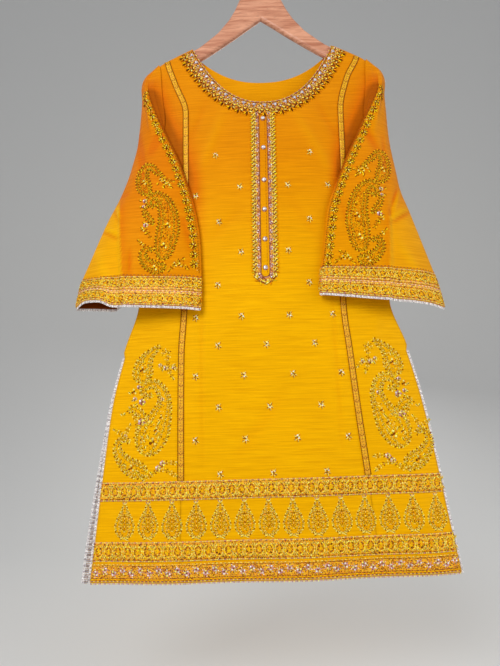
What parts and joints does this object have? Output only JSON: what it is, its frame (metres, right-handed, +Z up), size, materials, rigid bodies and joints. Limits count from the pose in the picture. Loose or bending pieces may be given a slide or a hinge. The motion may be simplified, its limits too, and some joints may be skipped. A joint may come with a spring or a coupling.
{
  "type": "kameez on a wooden hanger",
  "caption": "Long-sleeved embroidered tunic with a wide round neck, placket, princess seams and open side slits, hanging flat on a wooden hanger with a wire hook.",
  "frame": {"origin": "inside top of the hanger's hook, where a rail carries it", "axes": "+Z up, the garment's front faces -Y, +X to the right of someone who looks at the front"},
  "size_m": [0.5984, 0.0725, 1.1413],
  "materials": {
    "mustard_silk": "slubbed raw silk, soft sheen",
    "gold_embroidery": "metallic gold thread",
    "edging_lace": "narrow lace",
    "placket_stone": "clear glossy",
    "hanger_wood": "satin",
    "hook_steel": "polished wire"
  },
  "bodies": {
    "root": {"front_centre": "mustard_silk", "front_side_left": "mustard_silk", "front_side_right": "mustard_silk", "back": "mustard_silk", "sleeve_left": "mustard_silk", "sleeve_right": "mustard_silk", "princess_trim_left": "gold_embroidery", "princess_trim_right": "gold_embroidery", "neck_border": "gold_embroidery", "placket_border": "gold_embroidery", "hem_border_upper": "gold_embroidery", "hem_border_middle": "gold_embroidery", "hem_border_lower": "gold_embroidery", "sleeve_trim_left": "gold_embroidery", "sleeve_trim_right": "gold_embroidery", "cuff_border_left": "gold_embroidery", "cuff_border_right": "gold_embroidery", "front_edging": "edging_lace", "back_edging": "edging_lace", "cuff_edging_left": "edging_lace", "cuff_edging_right": "edging_lace", "button_1": "placket_stone", "button_2": "placket_stone", "button_3": "placket_stone", "button_4": "placket_stone", "button_5": "placket_stone", "button_6": "placket_stone", "hanger": "hanger_wood", "hanger_hook": "hook_steel"}
  },
  "joints": []
}
